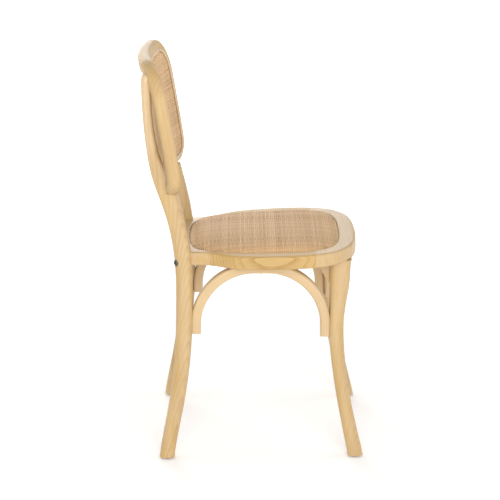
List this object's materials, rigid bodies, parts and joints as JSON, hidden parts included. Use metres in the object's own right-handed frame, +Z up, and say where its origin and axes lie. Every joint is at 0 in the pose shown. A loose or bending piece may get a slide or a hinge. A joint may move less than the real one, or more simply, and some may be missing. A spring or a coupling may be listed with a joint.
{
  "type": "dining chair",
  "caption": "Wooden dining chair with curved sabre legs, bentwood arch braces under a rounded seat ring, a domed woven rattan seat pad and a hollow-curved rounded back panel of woven rattan.",
  "frame": {"origin": "middle of the footprint's bounding box, on the floor", "axes": "+Z up, the sitter faces -Y, +X to the sitter's left"},
  "size_m": [0.4518, 0.4942, 0.8756],
  "materials": {
    "solid_wood": "clear satin lacquer on pale ash-like wood, open grain",
    "bent_wood": "clear satin lacquer on steam-bent pale wood, grain along the strip",
    "dowel_wood": "raw fluted beech dowel",
    "plywood": "raw plywood",
    "foam": "upholstery foam",
    "rattan": "natural rattan strips, close square basket weave",
    "reed": "natural reed strip",
    "zinc_steel": "zinc plated",
    "dark_steel": "dark grey socket head bolt",
    "nylon": "grey nylon nail-on glide"
  },
  "bodies": {
    "root": {"seat_front_rail": "solid_wood", "seat_rear_rail": "solid_wood", "seat_side_rail_left": "solid_wood", "seat_side_rail_right": "solid_wood", "rear_post_left": "solid_wood", "rear_post_right": "solid_wood", "front_leg_left": "solid_wood", "front_leg_right": "solid_wood", "back_top_rail": "solid_wood", "back_bottom_rail": "solid_wood", "back_stile_left": "solid_wood", "back_stile_right": "solid_wood", "corner_block_left": "solid_wood", "corner_block_right": "solid_wood", "back_screw_plugs": "solid_wood", "side_brace_left": "bent_wood", "side_brace_right": "bent_wood", "front_brace": "bent_wood", "rear_brace": "bent_wood", "seat_ring_dowels": "dowel_wood", "back_dowels": "dowel_wood", "post_dowels": "dowel_wood", "seat_panel": "plywood", "seat_foam": "foam", "seat_woven_cover": "rattan", "back_woven_panel": "rattan", "back_spline": "reed", "seat_panel_screws": "zinc_steel", "brace_end_screws": "zinc_steel", "brace_crown_screws": "zinc_steel", "corner_block_screws": "zinc_steel", "back_screws": "zinc_steel", "post_insert_nuts": "zinc_steel", "post_bolt_washers": "zinc_steel", "post_bolts": "dark_steel", "foot_glides": "nylon"}
  },
  "joints": []
}
